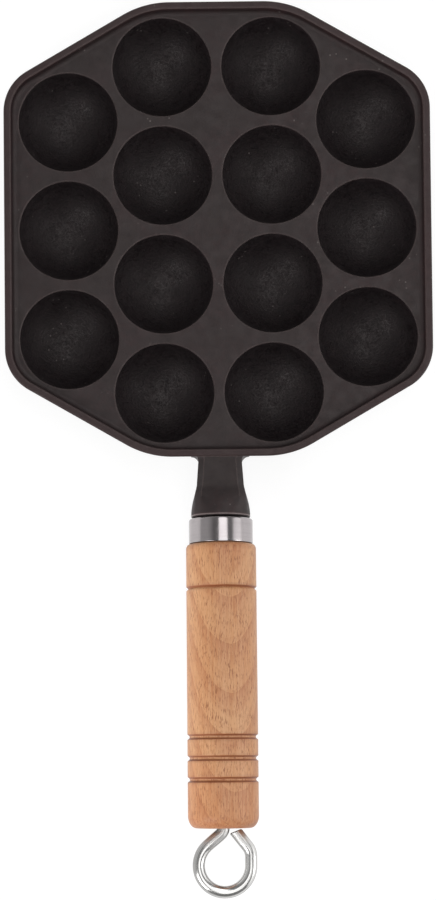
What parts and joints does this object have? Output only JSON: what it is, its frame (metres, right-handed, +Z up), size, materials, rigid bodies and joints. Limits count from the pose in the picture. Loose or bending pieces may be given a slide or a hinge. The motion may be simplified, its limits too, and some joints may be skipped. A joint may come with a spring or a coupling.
{
  "type": "takoyaki pan",
  "caption": "Cast-iron stove-top pan with rows of half-ball cups and a turned wooden handle held by a screwed eye rod.",
  "frame": {"origin": "on the resting plane, under the middle of the overall length and width", "axes": "+Y along the pan from handle to far edge, +Z up from the resting plane, +X to the right"},
  "size_m": [0.1734, 0.361, 0.0452],
  "materials": {
    "cast_iron": "black, fine sand-cast grain, matt",
    "ferrule_chrome": "polished plating",
    "beech": "steamed beech, thin satin lacquer",
    "washer_steel": "plain zinc plating",
    "rod_plating": "bright plating with faint drawing marks"
  },
  "bodies": {
    "casting": {"pan": "cast_iron"},
    "handle": {"ferrule": "ferrule_chrome", "grip": "beech", "rod_washer": "washer_steel"},
    "eye": {"eye_rod": "rod_plating"}
  },
  "joints": [
    {"name": "handle_draw", "type": "slide", "parent": "casting", "child": "handle", "axis": [0, -0.9949, 0.1011], "range_m": [0, 0.016]},
    {"name": "eye_unscrew", "type": "hinge", "parent": "handle", "child": "eye", "pos_m": [0, -0.02968, 0.019], "axis": [0, -0.9949, 0.1011], "range_deg": [0, 7200]}
  ],
  "couplings": [
    {"joint": "eye_unscrew", "follows": "handle_draw", "rad_per_m": 7854}
  ]
}
